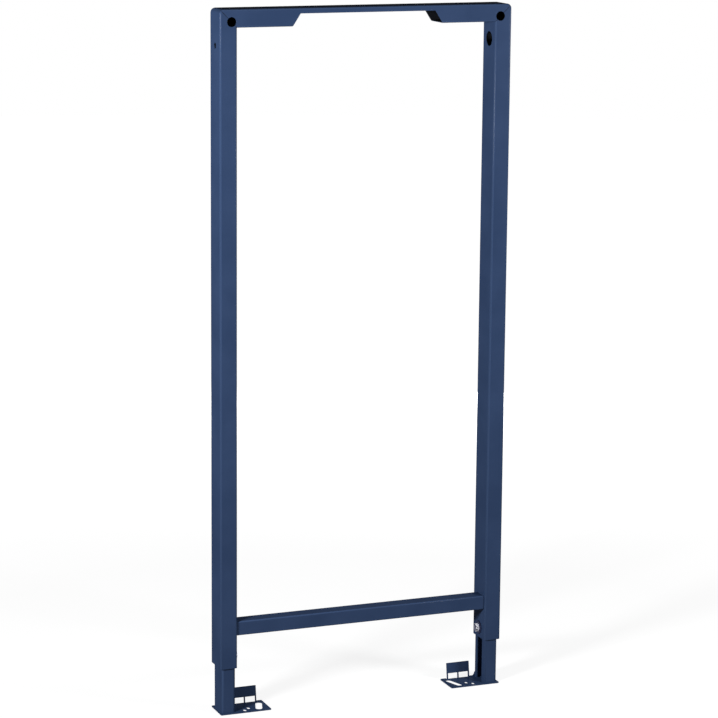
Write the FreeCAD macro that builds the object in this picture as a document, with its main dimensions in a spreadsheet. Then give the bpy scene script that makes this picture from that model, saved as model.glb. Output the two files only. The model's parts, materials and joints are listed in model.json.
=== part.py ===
"""Wall hung toilet frame: a welded rectangle of steel tube that stands on two telescoping feet.

The front looks along -Y and +Z is up. The origin is on the floor, midway between the feet and in the
middle of the uprights' depth. Lengths are in millimetres and angles in degrees.
"""
import FreeCAD, Part
import Sketcher
import os
import re

SIZES = {
    # Tube of the uprights and the top rail, and the rectangle that it makes.
    "frame_width": 520,
    "upright_length": 1115,
    "tube_width": 30,
    "tube_depth": 50,
    "tube_wall": 2,
    "tube_corner": 3,
    "corner_bend": 8,
    # Notch in the underside of the top rail.
    "notch_width": 240,
    "notch_roof": 9,
    "notch_slope": 13.5,
    # Holes near the top: on the mitres, and in the outer and inner walls of the uprights.
    "corner_hole": 16,
    "corner_hole_rise": 9.5,
    "side_hole": 10,
    "access_hole": 25,
    "side_hole_drop": 60,
    # Crossbar between the uprights.
    "bar_height": 25,
    "bar_depth": 28,
    "bar_wall": 1.5,
    "bar_corner": 2.5,
    "bar_recess": 4,
    "bar_top": 81,
    # Telescoping legs, their room inside the uprights, and how far they stand out as set.
    "leg_inner_clearance": 0.25,
    "leg_outer_clearance": 1.75,
    "leg_side_clearance": 1.5,
    "leg_wall": 2,
    "leg_corner": 4,
    "leg_slot": 21,
    "leg_length": 310,
    "leg_reach": 79,
    "leg_flare": 8,
    # Foot plates.
    "plate_length": 91,
    "plate_depth": 52,
    "plate_thickness": 2,
    "plate_corner": 2,
    "plate_overhang": 3.25,
    "anchor_slot_width": 11.5,
    "anchor_slot_length": 39.5,
    "anchor_slot_angle": 18.5,
    "anchor_slot_margin": 14.5,
    "anchor_slot_forward": 1.5,
    "nail_slot_width": 6,
    "nail_slot_length": 12,
    "inner_nail_place": 28.25,
    "inner_nail_forward": 7,
    "outer_nail_place": 18.75,
    "outer_nail_forward": 15.5,
    # Break-off tab at the back of each foot plate.
    "tab_gap": 1.75,
    "tab_length": 43,
    "tab_height": 28,
    "tab_window": 10,
    "tab_web": 2.2,
    "tab_lean": 8,
    # Clamp that holds each leg.
    "clamp_height": 18,
    "bolt_size": 8,
    "bolt_length": 20,
    "bolt_hole_play": 1,
    "head_flats": 13,
    "head_height": 5.3,
    "head_chamfer": 30,
    "washer_size": 24,
    "washer_play": 0.4,
    "washer_thickness": 2,
    "nut_length": 30,
    "nut_side_play": 4,
    "nut_thickness": 5,
    "nut_clearance": 0.3,
    "thread_play": 0.2,
}

LEFT, RIGHT = -1, 1
SIDE_NAMES = {LEFT: "left", RIGHT: "right"}
NEAR = 1e-4
HEXAGON = 6
FULL_TURN = 360

doc = FreeCAD.newDocument("toilet_frame")
sheet = doc.addObject("Spreadsheet::Sheet", "Sizes")
for row, (alias, value) in enumerate(SIZES.items(), start=1):
    sheet.set(f"A{row}", alias)
    sheet.set(f"B{row}", str(value))
    sheet.setAlias(f"B{row}", alias)
doc.recompute()

SIZE_NAMES = re.compile(r"\b(" + "|".join(SIZES) + r")\b")


def cells(words):
    """The expression with each size's name pointing at its cell in the sheet."""
    return SIZE_NAMES.sub(r"Sizes.\1", words)


def value_of(words):
    """The number that an expression of sizes comes to."""
    return float(sheet.evalExpression(cells(words)))


def bind(item, path, words):
    """Ties a property of a document object to an expression of sizes."""
    item.setExpression(path, cells(words))


def new_body(label, x="0", y="0", z="0"):
    """An empty body whose own origin is placed by expressions."""
    body = doc.addObject("PartDesign::Body", label)
    body.Label = label
    bind(body, "Placement.Base.x", x)
    bind(body, "Placement.Base.y", y)
    bind(body, "Placement.Base.z", z)
    return body


def new_sketch(body, name, role, lift="0"):
    """A sketch on one of the body's own planes, lifted along the plane's normal."""
    planes = {feature.Role: feature for feature in body.Origin.OriginFeatures}
    sketch = body.newObject("Sketcher::SketchObject", f"{body.Name}_{name}")
    sketch.AttachmentSupport = [(planes[role], "")]
    sketch.MapMode = "FlatFace"
    bind(sketch, "AttachmentOffset.Base.z", lift)
    return sketch


def pin_point(sketch, curve, end, place):
    """Drives one point of a sketch curve by two expressions, measured from the sketch's origin."""
    for kind, words in zip(("DistanceX", "DistanceY"), place):
        index = sketch.addConstraint(Sketcher.Constraint(kind, -1, 1, curve, end, value_of(words)))
        bind(sketch, f"Constraints[{index}]", words)


def vector_of(place):
    return FreeCAD.Vector(value_of(place[0]), value_of(place[1]), 0)


def add_outline(sketch, places, arcs=None):
    """A closed outline through places; arcs maps a stretch's number to its centre and turning way.

    Stretch n runs from place n to the next one. The way is 1 where the arc turns anticlockwise.
    """
    arcs = arcs or {}
    first = sketch.GeometryCount
    count = len(places)
    for number in range(count):
        start = vector_of(places[number])
        end = vector_of(places[(number + 1) % count])
        if number in arcs:
            centre, way = arcs[number]
            middle = vector_of(centre)
            circle = Part.Circle(middle, FreeCAD.Vector(0, 0, 1), (start - middle).Length)
            begin, finish = (start, end) if way > 0 else (end, start)
            curve = Part.ArcOfCircle(circle, circle.parameter(begin), circle.parameter(finish))
        else:
            curve = Part.LineSegment(start, end)
        sketch.addGeometry(curve, False)
    for number in range(count):
        backwards = number in arcs and arcs[number][1] < 0
        pin_point(sketch, first + number, 2 if backwards else 1, places[number])
        following = (number + 1) % count
        next_backwards = following in arcs and arcs[following][1] < 0
        link = (first + number, 1 if backwards else 2, first + following, 2 if next_backwards else 1)
        sketch.addConstraint(Sketcher.Constraint("Coincident", *link))
    for number, (centre, way) in arcs.items():
        # The two ends leave a centre free along the line midway between them, so one distance holds it.
        chord = vector_of(places[(number + 1) % count]) - vector_of(places[number])
        kind, words = ("DistanceY", centre[1]) if abs(chord.x) > abs(chord.y) else ("DistanceX", centre[0])
        index = sketch.addConstraint(Sketcher.Constraint(kind, -1, 1, first + number, 3, value_of(words)))
        bind(sketch, f"Constraints[{index}]", words)


def add_rectangle(sketch, low, high):
    """A rectangle between two opposite corners."""
    add_outline(sketch, [low, (high[0], low[1]), high, (low[0], high[1])])


def add_circle(sketch, place, diameter):
    """A circle given by its centre and diameter."""
    circle = Part.Circle(vector_of(place), FreeCAD.Vector(0, 0, 1), value_of(diameter) / 2)
    curve = sketch.addGeometry(circle, False)
    pin_point(sketch, curve, 3, place)
    index = sketch.addConstraint(Sketcher.Constraint("Diameter", curve, value_of(diameter)))
    bind(sketch, f"Constraints[{index}]", diameter)


def add_slot(sketch, centre, length, width):
    """A round-ended slot along the sketch's own Y."""
    x, y = centre
    half, reach = f"({width}) / 2", f"(({length}) - ({width})) / 2"
    left, right = f"{x} - {half}", f"{x} + {half}"
    low, high = f"{y} - {reach}", f"{y} + {reach}"
    ends = {0: ((x, low), 1), 2: ((x, high), 1)}
    add_outline(sketch, [(left, low), (right, low), (right, high), (left, high)], ends)


def pad(body, sketch, length, symmetric=False, reverse=False):
    """Raises a sketch to one side of its plane, or to both sides alike."""
    feature = body.newObject("PartDesign::Pad", f"{sketch.Name}_pad")
    feature.Profile = sketch
    feature.SideType = "Symmetric" if symmetric else "One side"
    feature.Reversed = reverse
    bind(feature, "Length", length)
    doc.recompute()
    return feature


def pocket(body, sketch, length=None):
    """Cuts to both sides of the sketch: through everything, or over a length centred on it."""
    before = body.Shape.Volume
    feature = body.newObject("PartDesign::Pocket", f"{sketch.Name}_pocket")
    feature.Profile = sketch
    feature.SideType = "Symmetric"
    feature.Type = "Length" if length else "ThroughAll"
    if length:
        bind(feature, "Length", length)
    doc.recompute()
    if body.Shape.Volume > before - NEAR:
        raise RuntimeError(f"{feature.Name} cuts nothing")
    return feature


def groove(body, sketch):
    """Turns a sketch once round its own X axis and cuts that away."""
    before = body.Shape.Volume
    feature = body.newObject("PartDesign::Groove", f"{sketch.Name}_groove")
    feature.Profile = sketch
    feature.ReferenceAxis = (sketch, ["H_Axis"])
    feature.Angle = FULL_TURN
    doc.recompute()
    if body.Shape.Volume > before - NEAR:
        raise RuntimeError(f"{feature.Name} cuts nothing")
    return feature


def round_edges(body, base, wanted, radius):
    """Fillets the edges of a feature whose middle point passes a test."""
    names = []
    for number, edge in enumerate(base.Shape.Edges, start=1):
        middle = edge.valueAt((edge.FirstParameter + edge.LastParameter) / 2)
        if wanted(middle):
            names.append(f"Edge{number}")
    feature = body.newObject("PartDesign::Fillet", f"{base.Name}_fillet")
    feature.Base = (base, names)
    bind(feature, "Radius", radius)
    doc.recompute()
    return feature


def hollow_out(body, base, opened, wall):
    """Leaves a wall of even thickness inside a solid, open at the faces that pass a test."""
    before = body.Shape.Volume
    names = []
    for number, face in enumerate(base.Shape.Faces, start=1):
        if opened(face.CenterOfMass):
            names.append(f"Face{number}")
    feature = body.newObject("PartDesign::Thickness", f"{base.Name}_wall")
    feature.Base = (base, names)
    feature.Reversed = True
    feature.Join = "Intersection"
    bind(feature, "Value", wall)
    doc.recompute()
    if body.Shape.Volume > before - NEAR:
        raise RuntimeError(f"{feature.Name} removes nothing")
    return feature


def through(wall):
    """The length of a cut, centred on a wall's outer face, that goes through that wall alone."""
    return f"4 * {wall}"


def close(first, second):
    return abs(first - second) < NEAR


def inward(side, words):
    """A length measured from a side's outer face towards the middle of the frame."""
    return f"{-side} * ({words})"


def outer_face(side):
    """Where the outer face of a side's upright is."""
    return f"{side} * frame_width / 2"


# Share of the corner's bend that the mitre plane cuts off on each of the two tubes.
MITRE_CUT = "corner_bend * (1 - cos(45 deg))"
# From the outer faces of both tubes to the middle of the hole on the mitre.
CORNER_INSET = "(tube_width - corner_hole_rise)"
UPRIGHT_END = "plate_thickness + leg_reach"


def make_upright(side):
    """A tube from the leg to the mitre, with its outer wall bent into the top rail."""
    body = new_body(f"{SIDE_NAMES[side]}_upright", x=outer_face(side), z=UPRIGHT_END)
    sketch = new_sketch(body, "outline", "XZ_Plane")
    places = [
        ("0", "0"),
        (inward(side, "tube_width"), "0"),
        (inward(side, "tube_width"), "upright_length - tube_width"),
        (inward(side, MITRE_CUT), f"upright_length - {MITRE_CUT}"),
        ("0", "upright_length - corner_bend"),
    ]
    bend_centre = (inward(side, "corner_bend"), "upright_length - corner_bend")
    add_outline(sketch, places, {3: (bend_centre, -side)})
    bar = pad(body, sketch, "tube_depth", symmetric=True)

    half_depth = value_of("tube_depth / 2")
    length = value_of("upright_length")

    def on_mitre(point):
        return close(abs(point.x) + point.z, length)

    def long_edge(point):
        return close(abs(point.y), half_depth) and not close(point.z, 0) and not on_mitre(point)

    rounded = round_edges(body, bar, long_edge, "tube_corner")
    hollow_out(body, rounded, lambda point: close(point.z, 0) or on_mitre(point), "tube_wall")

    hole = new_sketch(body, "corner_hole", "XZ_Plane")
    add_circle(hole, (inward(side, CORNER_INSET), f"upright_length - {CORNER_INSET}"), "corner_hole")
    pocket(body, hole)

    hole = new_sketch(body, "side_hole", "YZ_Plane")
    add_circle(hole, ("0", "upright_length - side_hole_drop"), "side_hole")
    pocket(body, hole, through("tube_wall"))

    holes = new_sketch(body, "inner_holes", "YZ_Plane", lift=inward(side, "tube_width"))
    add_circle(holes, ("0", "upright_length - side_hole_drop"), "access_hole")
    add_circle(holes, ("0", "clamp_height"), "bolt_size + bolt_hole_play")
    pocket(body, holes, through("tube_wall"))
    return body


def make_top_rail():
    """The tube across the top, mitred at both ends, with the long notch in its underside."""
    body = new_body("top_rail", z=f"{UPRIGHT_END} + upright_length - tube_width")
    inner_half = "(frame_width / 2 - tube_width)"
    mitre_half = f"(frame_width / 2 - {MITRE_CUT})"
    bend_half = "(frame_width / 2 - corner_bend)"
    sketch = new_sketch(body, "outline", "XZ_Plane")
    places = [
        (f"-{inner_half}", "0"),
        (inner_half, "0"),
        (mitre_half, f"tube_width - {MITRE_CUT}"),
        (bend_half, "tube_width"),
        (f"-{bend_half}", "tube_width"),
        (f"-{mitre_half}", f"tube_width - {MITRE_CUT}"),
    ]
    bend_height = "tube_width - corner_bend"
    bends = {2: ((bend_half, bend_height), 1), 4: ((f"-{bend_half}", bend_height), 1)}
    add_outline(sketch, places, bends)
    bar = pad(body, sketch, "tube_depth", symmetric=True)

    half_depth = value_of("tube_depth / 2")
    half_length = value_of(inner_half)

    def on_mitre(point):
        return close(abs(point.x) - point.z, half_length)

    rounded = round_edges(
        body, bar, lambda point: close(abs(point.y), half_depth) and not on_mitre(point), "tube_corner"
    )
    hollow_out(body, rounded, on_mitre, "tube_wall")

    roof, foot = "notch_width / 2", "(notch_width / 2 + notch_slope)"
    notch = new_sketch(body, "notch", "XZ_Plane")
    add_outline(notch, [
        (f"-{foot}", "-tube_wall"),
        (foot, "-tube_wall"),
        (foot, "0"),
        (roof, "tube_width - notch_roof"),
        (f"-{roof}", "tube_width - notch_roof"),
        (f"-{foot}", "0"),
    ])
    pocket(body, notch)

    holes = new_sketch(body, "corner_holes", "XZ_Plane")
    for side in (LEFT, RIGHT):
        across = f"{side} * (frame_width / 2 - {CORNER_INSET})"
        add_circle(holes, (across, "corner_hole_rise"), "corner_hole")
    pocket(body, holes)
    return body


def make_crossbar():
    """The lower tube, butted between the uprights and set back a little from their front."""
    body = new_body(
        "crossbar", y="bar_recess - tube_depth / 2", z=f"{UPRIGHT_END} + bar_top - bar_height"
    )
    sketch = new_sketch(body, "section", "YZ_Plane")
    add_rectangle(sketch, ("0", "0"), ("bar_depth", "bar_height"))
    bar = pad(body, sketch, "frame_width - 2 * tube_width", symmetric=True)
    half_length = value_of("frame_width / 2 - tube_width")
    rounded = round_edges(body, bar, lambda point: close(point.x, 0), "bar_corner")
    hollow_out(body, rounded, lambda point: close(abs(point.x), half_length), "bar_wall")
    return body


# The leg's section, and how far it stands in from the outer face of its upright.
LEG_WIDTH = "(tube_width - 2 * tube_wall - leg_inner_clearance - leg_outer_clearance)"
LEG_DEPTH = "(tube_depth - 2 * tube_wall - 2 * leg_side_clearance)"
LEG_INSET = "(tube_wall + leg_outer_clearance)"


def make_leg(side):
    """A C-shaped leg, open towards the middle of the frame, flared at the back where it meets its plate."""
    body = new_body(
        f"{SIDE_NAMES[side]}_leg",
        x=f"{outer_face(side)} + {inward(side, LEG_INSET)}",
        z="plate_thickness",
    )
    sketch = new_sketch(body, "section", "XY_Plane")
    add_rectangle(sketch, ("0", f"-{LEG_DEPTH} / 2"), (inward(side, LEG_WIDTH), f"{LEG_DEPTH} / 2"))
    bar = pad(body, sketch, "leg_length")
    length = value_of("leg_length")
    rounded = round_edges(body, bar, lambda point: close(point.z, length / 2), "leg_corner")
    hollow_out(body, rounded, lambda point: close(point.z, 0) or close(point.z, length), "leg_wall")

    slot = new_sketch(body, "slot", "YZ_Plane", lift=inward(side, LEG_WIDTH))
    add_rectangle(slot, ("-leg_slot / 2", "-leg_wall"), ("leg_slot / 2", "leg_length + leg_wall"))
    pocket(body, slot, through("leg_wall"))

    flare = new_sketch(body, "flare", "XZ_Plane", lift=f"leg_wall - {LEG_DEPTH} / 2")
    root, tip = f"{LEG_WIDTH} - leg_corner", f"{LEG_WIDTH} + leg_flare"
    places = [
        (inward(side, root), "0"),
        (inward(side, tip), "0"),
        (inward(side, LEG_WIDTH), "leg_flare"),
        (inward(side, root), "leg_flare"),
    ]
    add_outline(flare, places, {1: ((inward(side, tip), "leg_flare"), side)})
    pad(body, flare, "leg_wall", reverse=True)
    return body


# Along the plate from its outer edge: the inner side of the leg, and where the tab starts.
LEG_EDGE = f"(plate_overhang + {LEG_WIDTH})"
TAB_START = f"({LEG_EDGE} + leg_flare + tab_gap)"
# Back of the tab where it leaves the plate, and where it ends above.
TAB_ROOT = "(plate_depth / 2 - (plate_thickness + tab_height) * tan(tab_lean * 1 deg))"
TAB_END = "plate_depth / 2"


def make_foot_plate(side):
    """A floor plate under a leg, with its anchor slot, two nail slots and the break-off tab."""
    body = new_body(
        f"{SIDE_NAMES[side]}_foot_plate",
        x=f"{outer_face(side)} + {inward(side, f'{LEG_INSET} - plate_overhang')}",
    )
    sketch = new_sketch(body, "outline", "XY_Plane")
    add_rectangle(sketch, ("0", "-plate_depth / 2"), (inward(side, "plate_length"), "plate_depth / 2"))
    plate = pad(body, sketch, "plate_thickness")
    middle_height = value_of("plate_thickness / 2")
    round_edges(body, plate, lambda point: close(point.z, middle_height), "plate_corner")

    slot = new_sketch(body, "anchor_slot", "XY_Plane")
    bind(slot, "AttachmentOffset.Base.x", inward(side, "plate_length - anchor_slot_margin"))
    bind(slot, "AttachmentOffset.Base.y", "-anchor_slot_forward")
    bind(slot, "AttachmentOffset.Rotation.Angle", f"{side} * anchor_slot_angle")
    add_slot(slot, ("0", "0"), "anchor_slot_length", "anchor_slot_width")
    pocket(body, slot)

    nails = new_sketch(body, "nail_slots", "XY_Plane")
    for name in ("inner", "outer"):
        place = (inward(side, f"{LEG_EDGE} + {name}_nail_place"), f"-{name}_nail_forward")
        add_slot(nails, place, "nail_slot_length", "nail_slot_width")
    pocket(body, nails)

    strip = new_sketch(body, "bend_strip", "XY_Plane")
    add_rectangle(
        strip,
        (inward(side, TAB_START), TAB_ROOT),
        (inward(side, f"{TAB_START} + tab_length"), "plate_depth"),
    )
    pocket(body, strip)

    middle_web = f"{TAB_START} + tab_length / 2"
    tab = new_sketch(body, "tab", "YZ_Plane", lift=inward(side, middle_web))
    add_outline(tab, [
        (f"{TAB_ROOT} - plate_thickness", "0"),
        (TAB_ROOT, "0"),
        (TAB_END, "plate_thickness + tab_height"),
        (f"{TAB_END} - plate_thickness", "plate_thickness + tab_height"),
    ])
    pad(body, tab, "tab_length", symmetric=True)

    windows = new_sketch(body, "tab_windows", "XZ_Plane")
    for start, end in (
        (f"{TAB_START} + tab_web", f"{middle_web} - tab_web / 2"),
        (f"{middle_web} + tab_web / 2", f"{TAB_START} + tab_length - tab_web"),
    ):
        add_rectangle(
            windows,
            (inward(side, start), "plate_thickness"),
            (inward(side, end), "plate_thickness + tab_window"),
        )
    pocket(body, windows)
    return body


def clamp_body(side, name, reach):
    """A body on the clamp's axis, a length in from the outer face of the upright."""
    return new_body(
        f"{SIDE_NAMES[side]}_{name}",
        x=f"{outer_face(side)} + {inward(side, reach)}",
        z=f"{UPRIGHT_END} + clamp_height",
    )


def make_clamp_washer(side):
    body = clamp_body(side, "clamp_washer", "tube_width")
    sketch = new_sketch(body, "ring", "YZ_Plane")
    add_circle(sketch, ("0", "0"), "washer_size")
    add_circle(sketch, ("0", "0"), "bolt_size + washer_play")
    pad(body, sketch, "washer_thickness", reverse=side == RIGHT)
    return body


# From the middle of a bolt's head to a corner of its hexagon.
HEAD_RADIUS = "head_flats / (2 * cos(30 deg))"


def make_clamp_bolt(side):
    """A hexagon bolt with its head on the washer and its shank through the nut plate."""
    body = clamp_body(side, "clamp_bolt", "tube_width + washer_thickness")
    head = new_sketch(body, "head", "YZ_Plane")
    corners = []
    for corner in range(HEXAGON):
        turn = f"({corner} * {FULL_TURN} deg / {HEXAGON})"
        corners.append((f"{HEAD_RADIUS} * cos({turn})", f"{HEAD_RADIUS} * sin({turn})"))
    add_outline(head, corners)
    pad(body, head, "head_height", reverse=side == RIGHT)

    # The turned chamfer leaves a round face just inside the flats.
    chamfer = new_sketch(body, "chamfer", "XY_Plane")
    fall = f"({HEAD_RADIUS} - head_flats / 2) * tan(head_chamfer * 1 deg)"
    add_outline(chamfer, [
        (inward(side, "head_height"), "head_flats / 2"),
        (inward(side, "head_height"), HEAD_RADIUS),
        (inward(side, f"head_height - {fall}"), HEAD_RADIUS),
    ])
    groove(body, chamfer)

    shank = new_sketch(body, "shank", "YZ_Plane")
    add_circle(shank, ("0", "0"), "bolt_size")
    pad(body, shank, "bolt_length", reverse=side == LEFT)
    return body


def make_clamp_nut(side):
    """A nut plate inside the leg, behind the lips of its slot."""
    body = clamp_body(side, "clamp_nut", f"{LEG_INSET} + {LEG_WIDTH} - leg_wall - nut_clearance")
    sketch = new_sketch(body, "plate", "YZ_Plane")
    half_depth = f"({LEG_DEPTH} / 2 - leg_wall - nut_side_play)"
    add_rectangle(sketch, (f"-{half_depth}", "-nut_length / 2"), (half_depth, "nut_length / 2"))
    add_circle(sketch, ("0", "0"), "bolt_size + thread_play")
    pad(body, sketch, "nut_thickness", reverse=side == LEFT)
    return body


pieces = [make_top_rail(), make_crossbar()]
for side in (LEFT, RIGHT):
    pieces += [
        make_upright(side),
        make_leg(side),
        make_foot_plate(side),
        make_clamp_washer(side),
        make_clamp_bolt(side),
        make_clamp_nut(side),
    ]
doc.recompute()

for item in doc.Objects:
    if "Invalid" in item.State or "Error" in item.State:
        raise RuntimeError(f"{item.Name} failed: {item.State}")
for piece in pieces:
    if piece.Shape.isNull() or not piece.Shape.isValid():
        raise RuntimeError(f"{piece.Label} has no valid shape")

os.makedirs("parts", exist_ok=True)
for piece in pieces:
    piece.Shape.exportStep(f"parts/{piece.Label}.step")
    box = piece.Shape.optimalBoundingBox()
    print(f"{piece.Label}: {len(piece.Shape.Solids)} solid, {piece.Shape.Volume:.0f} mm3, "
          f"x {box.XMin:.2f} to {box.XMax:.2f}, y {box.YMin:.2f} to {box.YMax:.2f}, "
          f"z {box.ZMin:.2f} to {box.ZMax:.2f}")
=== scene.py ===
"""Looks of the wall hung toilet frame: powder coat, zinc plated clamps, weld beads and a white studio."""
import json
import math

import bmesh
import bpy
from mathutils import Matrix, Vector


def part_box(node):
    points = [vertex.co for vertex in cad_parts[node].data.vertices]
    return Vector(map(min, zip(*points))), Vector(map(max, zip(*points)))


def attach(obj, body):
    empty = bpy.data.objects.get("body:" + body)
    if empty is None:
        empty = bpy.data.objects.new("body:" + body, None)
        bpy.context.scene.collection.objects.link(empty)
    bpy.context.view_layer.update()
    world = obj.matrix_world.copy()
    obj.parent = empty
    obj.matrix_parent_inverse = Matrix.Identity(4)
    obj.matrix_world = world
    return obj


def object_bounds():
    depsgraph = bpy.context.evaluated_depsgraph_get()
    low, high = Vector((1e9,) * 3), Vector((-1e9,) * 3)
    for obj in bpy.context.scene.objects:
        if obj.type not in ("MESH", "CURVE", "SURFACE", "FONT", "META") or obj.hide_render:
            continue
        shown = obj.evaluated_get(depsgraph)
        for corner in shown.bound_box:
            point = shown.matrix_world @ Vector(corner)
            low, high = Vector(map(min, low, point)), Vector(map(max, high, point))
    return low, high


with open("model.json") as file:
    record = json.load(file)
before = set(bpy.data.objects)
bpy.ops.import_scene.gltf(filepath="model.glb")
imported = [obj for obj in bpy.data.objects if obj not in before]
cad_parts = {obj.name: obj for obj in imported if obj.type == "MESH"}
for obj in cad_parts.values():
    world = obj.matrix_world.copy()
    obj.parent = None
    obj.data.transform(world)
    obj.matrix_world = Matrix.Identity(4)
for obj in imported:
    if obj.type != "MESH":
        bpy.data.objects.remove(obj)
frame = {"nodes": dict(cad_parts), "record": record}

cad_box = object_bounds()
MM = 0.001
UNIT = (0, 1)

# Powder coat. Colours are linear. A pattern's range holds the values between which it changes the coat.
NAVY_DEEP = (0.0270, 0.050, 0.114, 1)
NAVY_PALE = (0.0330, 0.059, 0.131, 1)
# Paler navy along the rounded corners: a painted highlight standing in for their gloss, where the coat is
# also thin.
NAVY_CORNER_HIGHLIGHT = (0.044, 0.077, 0.165, 1)
CLOUDS_PER_METRE = 14
CLOUD_DETAIL = 3
CLOUD_RANGE = (0.35, 0.65)
PEEL_PER_METRE = 900
PEEL_DETAIL = 2
PEEL_RANGE = (0.3, 0.7)
PEEL_BUMP = 0.35
PEEL_HEIGHT = 0.05 * MM
COAT_ROUGHNESS = (0.74, 0.86)
COAT_SPECULAR = 0
GLOSS_WEIGHT = 0.011
GLOSS_ROUGHNESS = 0.18
GLOSS_IOR = 3.5

# Painted highlight along the tubes' rounded corners, where the coat is also thin; uncoated steel inside the
# tubes, darkened as painted shade; dark mitre seams.
# Near black inside the tubes: uncoated steel, darkened past its own colour as painted shade of the hollows.
# The mitre seams take it as dark joints.
BARE_STEEL_AND_SHADE = (0.012, 0.013, 0.016, 1)
TUBE_SKIN = 0.8 * MM
CORNER_BEND = 8 * MM
TUBE_CORNER = 3 * MM
BAR_CORNER = 2.5 * MM
LEG_CORNER = 4 * MM
CORNER_HIGHLIGHT_RANGE = (0, 0.5)
SEAM_HALF_WIDTH = 0.5 * MM

# Zinc plate. Its spangle cells run from near black to near white, mostly pale: zinc spangles carrying
# painted reflections and glints.
ZINC_BRIGHT = (0.94, 0.94, 0.98, 1)
# Grey for a bolt head's end face: painted shade against its brighter flats.
ZINC_GREY = (0.16, 0.16, 0.20, 1)
# Near black navy zinc for the washers: painted shade.
ZINC_SHADED = (0.024, 0.030, 0.066, 1)
ZINC_DARK = (0.018, 0.018, 0.034, 1)
ZINC_RIM = (0.66, 0.70, 0.84, 1)
ZINC_ROUGHNESS = (0.55, 0.7)
SPANGLES_PER_METRE = 420
SPANGLE_RANGE = (0.02, 0.2)
SPANGLE_BUMP = 0.3
SPANGLE_HEIGHT = 0.02 * MM
HEAD_SKIN = 0.05 * MM

# Softened edges of sheared and sawn metal.
EDGE_ROUND = 0.4 * MM
EDGE_STEPS = 2
EDGE_ANGLE = math.radians(35)
FLAT_ANGLE = math.radians(0.5)
JOIN_NEAR = 0.001 * MM

# Weld beads. Each end starts at a share of the full radius, which grows by the taper over a bead's length.
BEAD_RADIUS = 1.7 * MM
BEAD_SIDES = 10
BEAD_PITCH = 1.6 * MM
BEAD_RIPPLE = 0.14
BEAD_STEPS_PER_RIPPLE = 4
BEAD_LEAST_RIPPLES = 2
BEAD_END_SHARE = 0.35
BEAD_TAPER = 6
LEG_WELD_INSET = 5 * MM
BAR_WELD_INSET = 2.5 * MM

# Camera, as fitted to the photograph. The lens and the sensor are in millimetres.
CAMERA_PLACE = Vector((-1.7297, -4.3189, 1.5363))
CAMERA_TURN = math.radians(21.80)
CAMERA_DIP = math.radians(11.41)
CAMERA_ROLL = math.radians(-0.494)
CAMERA_LENS = 139.8
CAMERA_SENSOR = 36
CAMERA_REACH = 100

# Studio. Each softbox is given by its azimuth from the front in degrees, its distance and height in metres,
# how far it is aimed upwards in degrees, its side in metres and its power in watts. Their middles stand no
# higher than about the frame's top and they are aimed upwards, so that the tops of the tubes stay dark.
SOFTBOXES = {
    "key_softbox": (-60, 2.4, 1.20, 19, 0.45, 78),
    "fill_softbox": (45, 1.8, 1.00, 14, 0.4, 22),
    "back_softbox": (155, 2.6, 0.16, 18, 0.8, 40),
}
AMBIENT = 0.04
FLOOR_RADIUS = 9
FLOOR_SIDES = 96
FLOOR_CLEAR = 0.9
FLOOR_FADE = 2.4
FLOOR_GLOW = 0.85
FLOOR_GREY = (0.30, 0.30, 0.30, 1)
WHITE = (1, 1, 1, 1)


def new_material(name):
    """A material with an empty node tree and its output."""
    material = bpy.data.materials.new(name)
    material.use_nodes = True
    tree = material.node_tree
    tree.nodes.clear()
    return material, tree, tree.nodes.new("ShaderNodeOutputMaterial")


def add_node(tree, kind, links=None, **settings):
    """A node with its attributes or input values set, and its inputs linked from other sockets."""
    node = tree.nodes.new(kind)
    for name, value in settings.items():
        if name in node.bl_rna.properties:
            setattr(node, name, value)
        else:
            node.inputs[name.replace("_", " ")].default_value = value
    for name, socket in (links or {}).items():
        tree.links.new(socket, node.inputs[name])
    return node


def feed(tree, socket, value):
    """Links an input to another socket, or sets it to a plain value."""
    if isinstance(value, bpy.types.NodeSocket):
        tree.links.new(value, socket)
    else:
        socket.default_value = value


def maths(tree, operation, *values):
    """The result of one operation on sockets and numbers."""
    node = add_node(tree, "ShaderNodeMath", operation=operation)
    for place, value in enumerate(values):
        feed(tree, node.inputs[place], value)
    return node.outputs[0]


def within(tree, value, low, high):
    """1 where a value lies between two limits."""
    return maths(tree, "COMPARE", value, (low + high) / 2, (high - low) / 2)


def noise(tree, place, scale, detail):
    """A noise pattern's value, in the frame's own metres."""
    node = add_node(tree, "ShaderNodeTexNoise", {"Vector": place}, Scale=scale, Detail=detail)
    return node.outputs["Fac"]


def spread(tree, value, source, target=UNIT):
    """A value moved from one range to another."""
    node = add_node(tree, "ShaderNodeMapRange", {"Value": value})
    for name, number in zip(("From Min", "From Max", "To Min", "To Max"), (*source, *target)):
        node.inputs[name].default_value = number
    return node.outputs["Result"]


def blend_colours(tree, share, first, second):
    """A colour between two, by a share from 0 to 1."""
    node = add_node(tree, "ShaderNodeMix", data_type="RGBA")
    for place, value in (("Factor_Float", share), ("A_Color", first), ("B_Color", second)):
        feed(tree, next(socket for socket in node.inputs if socket.identifier == place), value)
    return next(socket for socket in node.outputs if socket.identifier == "Result_Color")


def bump(tree, height, strength, distance):
    """A normal roughened by a height pattern."""
    node = add_node(tree, "ShaderNodeBump", {"Height": height}, Strength=strength, Distance=distance)
    return node.outputs["Normal"]


def tube_box(node):
    """A tube's lowest and highest corners and the axis that it runs along."""
    low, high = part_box(node)
    return low, high, max(range(3), key=lambda axis: high[axis] - low[axis])


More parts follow.
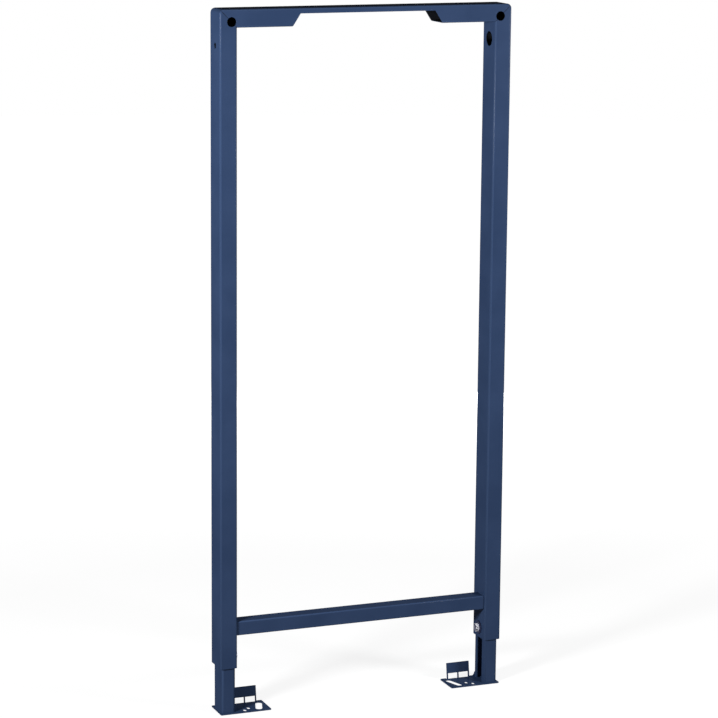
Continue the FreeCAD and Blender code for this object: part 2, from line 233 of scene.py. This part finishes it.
def painted_corner_highlight(tree, coords, node, radius):
    """1 along the middle of a tube's rounded corners, for a painted highlight where the coat is also thin,
    fading to 0 at its faces.
    """
    low, high, long_axis = tube_box(node)
    share = 1
    for axis in range(3):
        if axis != long_axis:
            half = (high[axis] - low[axis]) / 2
            out = maths(tree, "ABSOLUTE", maths(tree, "SUBTRACT", coords[axis], low[axis] + half))
            share = maths(tree, "MULTIPLY", share, spread(tree, out, (half - radius, half)))
    return spread(tree, share, CORNER_HIGHLIGHT_RANGE)


def inside_tube(tree, coords, node):
    """1 inside a tube, short of the bends at its ends."""
    low, high, long_axis = tube_box(node)
    share = 1
    for axis in range(3):
        if axis == long_axis:
            start, end = cad_box[0][axis] + CORNER_BEND, cad_box[1][axis] - CORNER_BEND
        else:
            start, end = low[axis] + TUBE_SKIN, high[axis] - TUBE_SKIN
        share = maths(tree, "MULTIPLY", share, within(tree, coords[axis], start, end))
    return share


def mitre_seam(tree, coords):
    """1 in the thin seams that run along the mitres, on the front and the back."""
    corner_x, corner_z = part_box("right_upright")[0].x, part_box("top_rail")[0].z
    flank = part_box("top_rail")[1].y - TUBE_SKIN
    out = maths(tree, "SUBTRACT", maths(tree, "ABSOLUTE", coords[0]), corner_x)
    up = maths(tree, "SUBTRACT", coords[2], corner_z)
    line = within(tree, maths(tree, "SUBTRACT", out, up), -SEAM_HALF_WIDTH, SEAM_HALF_WIDTH)
    outside = maths(tree, "GREATER_THAN", maths(tree, "ABSOLUTE", coords[1]), flank)
    return maths(tree, "MULTIPLY", line, outside)


def powder_coat(name, tube=None, corner=0, open_ended=False):
    """Powder coat: faint clouding in the colour, a painted highlight on a tube's corners, painted shade
    inside open tubes, and a fine orange peel.
    """
    material, tree, output = new_material(name)
    place = add_node(tree, "ShaderNodeTexCoord").outputs["Object"]
    clouds = spread(tree, noise(tree, place, CLOUDS_PER_METRE, CLOUD_DETAIL), CLOUD_RANGE)
    peel = noise(tree, place, PEEL_PER_METRE, PEEL_DETAIL)
    colour = blend_colours(tree, clouds, NAVY_DEEP, NAVY_PALE)
    if tube:
        coords = add_node(tree, "ShaderNodeSeparateXYZ", {"Vector": place}).outputs
        # Paler along the rounded corners: painted highlight, on a coat that is also thin there.
        colour = blend_colours(tree, painted_corner_highlight(tree, coords, tube, corner), colour, NAVY_CORNER_HIGHLIGHT)
    if open_ended:
        # Inside the tube: uncoated steel darkened as painted shade; in the mitre seams: a dark joint.
        uncoated_and_shaded = maths(tree, "MAXIMUM", inside_tube(tree, coords, tube), mitre_seam(tree, coords))
        colour = blend_colours(tree, uncoated_and_shaded, colour, BARE_STEEL_AND_SHADE)
    shader = add_node(tree, "ShaderNodeBsdfPrincipled", {
        "Base Color": colour,
        "Roughness": spread(tree, peel, PEEL_RANGE, COAT_ROUGHNESS),
        "Normal": bump(tree, peel, PEEL_BUMP, PEEL_HEIGHT),
    })
    shader.inputs["Specular IOR Level"].default_value = COAT_SPECULAR
    shader.inputs["Coat Weight"].default_value = GLOSS_WEIGHT
    shader.inputs["Coat Roughness"].default_value = GLOSS_ROUGHNESS
    shader.inputs["Coat IOR"].default_value = GLOSS_IOR
    tree.links.new(shader.outputs["BSDF"], output.inputs["Surface"])
    return material


def zinc_plate(name, pale, head_end=None):
    """Matt zinc plate with spangles whose dark and pale cells are painted reflections, and a greyer painted
    shade on a bolt head's end face that lies head_end from the middle.
    """
    material, tree, output = new_material(name)
    place = add_node(tree, "ShaderNodeTexCoord").outputs["Object"]
    spangles = add_node(tree, "ShaderNodeTexVoronoi", {"Vector": place}, Scale=SPANGLES_PER_METRE)
    shade = add_node(tree, "ShaderNodeSeparateColor", {"Color": spangles.outputs["Color"]}).outputs["Red"]
    # Spangle cells from near black to near white, mostly pale: zinc spangles with painted reflections and
    # glints.
    spangles_and_glints = spread(tree, shade, SPANGLE_RANGE)
    colour = blend_colours(tree, spangles_and_glints, ZINC_DARK, pale)
    if head_end:
        across = add_node(tree, "ShaderNodeSeparateXYZ", {"Vector": place}).outputs["X"]
        # A bolt head's end face in a greyer painted shade than its flats.
        shaded_end = within(tree, maths(tree, "ABSOLUTE", across), head_end - HEAD_SKIN, head_end + HEAD_SKIN)
        colour = blend_colours(tree, shaded_end, colour, blend_colours(tree, spangles_and_glints, ZINC_DARK, ZINC_GREY))
    shader = add_node(tree, "ShaderNodeBsdfPrincipled", {
        "Base Color": colour,
        "Roughness": spread(tree, shade, UNIT, ZINC_ROUGHNESS),
        "Normal": bump(tree, shade, SPANGLE_BUMP, SPANGLE_HEIGHT),
    })
    shader.inputs["Metallic"].default_value = 1
    shader.inputs["Specular Tint"].default_value = ZINC_RIM
    tree.links.new(shader.outputs["BSDF"], output.inputs["Surface"])
    return material


def make_materials():
    """A finish for each material slot of the record, and for each node that needs one of its own."""
    materials = {
        "powder_coat": powder_coat("powder_coat"),
        "zinc": zinc_plate("zinc_plate", ZINC_BRIGHT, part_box("right_clamp_bolt")[0].x),
    }
    for tube in ("top_rail", "left_upright", "right_upright"):
        materials[tube] = powder_coat(f"powder_coat_{tube}", tube, TUBE_CORNER, open_ended=True)
    for tube, corner in {"crossbar": BAR_CORNER, "left_leg": LEG_CORNER, "right_leg": LEG_CORNER}.items():
        materials[tube] = powder_coat(f"powder_coat_{tube}", tube, corner)
    # Washers in a painted shade of near black zinc.
    shaded_zinc = zinc_plate("shaded_zinc_plate", ZINC_SHADED)
    for washer in ("left_clamp_washer", "right_clamp_washer"):
        materials[washer] = shaded_zinc
    return materials


def soften_edges(piece):
    """Rounds a node's sharp edges a little, as paint and shearing leave them."""
    join = piece.modifiers.new("join", "WELD")
    join.merge_threshold = JOIN_NEAR
    flatten = piece.modifiers.new("flatten", "DECIMATE")
    flatten.decimate_type = "DISSOLVE"
    flatten.angle_limit = FLAT_ANGLE
    rounding = piece.modifiers.new("edges", "BEVEL")
    rounding.width = EDGE_ROUND
    rounding.segments = EDGE_STEPS
    rounding.limit_method = "ANGLE"
    rounding.angle_limit = EDGE_ANGLE
    rounding.harden_normals = True


def finish_nodes(materials):
    """Gives every node of the frame its finish and softened edges."""
    for subpart in frame["record"]["subparts"]:
        piece = frame["nodes"][subpart["node"]]
        piece.data.materials.clear()
        piece.data.materials.append(materials.get(subpart["node"], materials[subpart["material_slot"]]))
        soften_edges(piece)


def bead_radius(share, ripples):
    """A weld bead's radius at a share of its length, rippled and tapered at both ends."""
    swell = 1 - BEAD_RIPPLE * abs(math.cos(math.pi * ripples * share))
    from_end = min(share, 1 - share)
    return BEAD_RADIUS * swell * min(1, BEAD_END_SHARE + BEAD_TAPER * from_end)


def weld_bead(name, body, material, start, end):
    """A rippled bead along a straight corner, half sunk in the two walls that it joins."""
    start, end = Vector(start), Vector(end)
    along = end - start
    across = along.normalized().orthogonal().normalized()
    other = along.normalized().cross(across)
    ripples = max(BEAD_LEAST_RIPPLES, round(along.length / BEAD_PITCH))
    steps = ripples * BEAD_STEPS_PER_RIPPLE
    mesh = bmesh.new()
    rings = []
    for step in range(steps + 1):
        share = step / steps
        radius = bead_radius(share, ripples)
        centre = start + along * share
        ring = []
        for side in range(BEAD_SIDES):
            angle = 2 * math.pi * side / BEAD_SIDES
            outward = math.cos(angle) * across + math.sin(angle) * other
            ring.append(mesh.verts.new(centre + radius * outward))
        rings.append(ring)
    for ring, following in zip(rings, rings[1:]):
        for side in range(BEAD_SIDES):
            after = (side + 1) % BEAD_SIDES
            mesh.faces.new((ring[side], ring[after], following[after], following[side]))
    mesh.faces.new(reversed(rings[0]))
    mesh.faces.new(rings[-1])
    data = bpy.data.meshes.new(name)
    mesh.to_mesh(data)
    mesh.free()
    data.shade_smooth()
    bead = bpy.data.objects.new(name, data)
    bpy.context.scene.collection.objects.link(bead)
    data.materials.append(material)
    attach(bead, body)


def weld_feet(material):
    """Beads that join each leg to its foot plate, along the leg's outer side."""
    for side in ("left", "right"):
        low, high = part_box(f"{side}_leg")
        outer = low.x if side == "left" else high.x
        front = (outer, low.y + LEG_WELD_INSET, low.z)
        back = (outer, high.y - LEG_WELD_INSET, low.z)
        weld_bead(f"{side}_outer_weld", f"{side}_foot", material, front, back)


def weld_crossbar(material):
    """Beads that join the crossbar to the uprights, along its back, its underside and its top."""
    low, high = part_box("crossbar")
    front, back = low.y + BAR_WELD_INSET, high.y - BAR_WELD_INSET
    bottom, top = low.z + BAR_WELD_INSET, high.z - BAR_WELD_INSET
    for side, end in (("left", low.x), ("right", high.x)):
        runs = {
            "back": ((end, high.y, bottom), (end, high.y, top)),
            "under": ((end, front, low.z), (end, back, low.z)),
            "top": ((end, front, high.z), (end, back, high.z)),
        }
        for place, (start, finish) in runs.items():
            weld_bead(f"crossbar_{side}_{place}_weld", "frame", material, start, finish)


def seen_rays(tree):
    """1 for rays that show the background: straight to the camera, in a reflection or through glass."""
    rays = add_node(tree, "ShaderNodeLightPath")
    total = rays.outputs["Is Camera Ray"]
    for name in ("Is Glossy Ray", "Is Transmission Ray"):
        total = maths(tree, "MAXIMUM", total, rays.outputs[name])
    return total


def make_world():
    """White where it is seen, and a dim even light elsewhere."""
    world = bpy.data.worlds.new("studio")
    bpy.context.scene.world = world
    world.use_nodes = True
    tree = world.node_tree
    tree.nodes.clear()
    strength = spread(tree, seen_rays(tree), UNIT, (AMBIENT, 1))
    shell = add_node(tree, "ShaderNodeBackground", {"Strength": strength}, Color=WHITE)
    output = add_node(tree, "ShaderNodeOutputWorld")
    tree.links.new(shell.outputs["Background"], output.inputs["Surface"])


def floor_material():
    """Pale floor that keeps a soft shadow round the object and is plain white further out."""
    material, tree, output = new_material("studio_floor")
    place = add_node(tree, "ShaderNodeTexCoord").outputs["Object"]
    reach = add_node(tree, "ShaderNodeVectorMath", {0: place}, operation="LENGTH").outputs["Value"]
    far = spread(tree, reach, (FLOOR_CLEAR, FLOOR_FADE), (FLOOR_GLOW, 1))
    strength = maths(tree, "MULTIPLY", far, seen_rays(tree))
    paint = add_node(tree, "ShaderNodeBsdfDiffuse", Color=FLOOR_GREY)
    glow = add_node(tree, "ShaderNodeEmission", {"Strength": strength}, Color=WHITE)
    total = add_node(tree, "ShaderNodeAddShader", {0: paint.outputs[0], 1: glow.outputs[0]})
    tree.links.new(total.outputs[0], output.inputs["Surface"])
    return material


def make_floor():
    """A flat disc under the feet."""
    mesh = bmesh.new()
    bmesh.ops.create_circle(mesh, cap_ends=True, segments=FLOOR_SIDES, radius=FLOOR_RADIUS)
    data = bpy.data.meshes.new("studio_floor")
    mesh.to_mesh(data)
    mesh.free()
    data.materials.append(floor_material())
    floor = bpy.data.objects.new("studio_floor", data)
    bpy.context.scene.collection.objects.link(floor)


def make_lights():
    """Softboxes round the frame, aimed a little upwards."""
    for name, (azimuth, distance, height, aim, side, power) in SOFTBOXES.items():
        lamp = bpy.data.lights.new(name, "AREA")
        lamp.size = side
        lamp.energy = power
        box = bpy.data.objects.new(name, lamp)
        bpy.context.scene.collection.objects.link(box)
        turn, rise = math.radians(azimuth), math.radians(aim)
        out = Vector((math.sin(turn), -math.cos(turn), 0))
        box.location = out * distance + Vector((0, 0, height))
        facing = -out * math.cos(rise) + Vector((0, 0, math.sin(rise)))
        box.rotation_euler = facing.to_track_quat("-Z", "Y").to_euler()


def make_camera():
    """The photograph's view: from the left of the front, a little above."""
    camera = bpy.data.objects.new("camera", bpy.data.cameras.new("camera"))
    bpy.context.scene.collection.objects.link(camera)
    camera.data.lens = CAMERA_LENS
    camera.data.sensor_width = CAMERA_SENSOR
    camera.data.clip_end = CAMERA_REACH
    turned = Matrix.Rotation(-CAMERA_TURN, 4, "Z")
    dipped = Matrix.Rotation(math.pi / 2 - CAMERA_DIP, 4, "X")
    rolled = Matrix.Rotation(-CAMERA_ROLL, 4, "Z")
    camera.matrix_world = Matrix.Translation(CAMERA_PLACE) @ turned @ dipped @ rolled
    bpy.context.scene.camera = camera


finishes = make_materials()
finish_nodes(finishes)
weld_feet(finishes["powder_coat"])
weld_crossbar(finishes["powder_coat"])
make_world()
make_floor()
make_lights()
make_camera()
bpy.context.scene.view_settings.view_transform = "Standard"
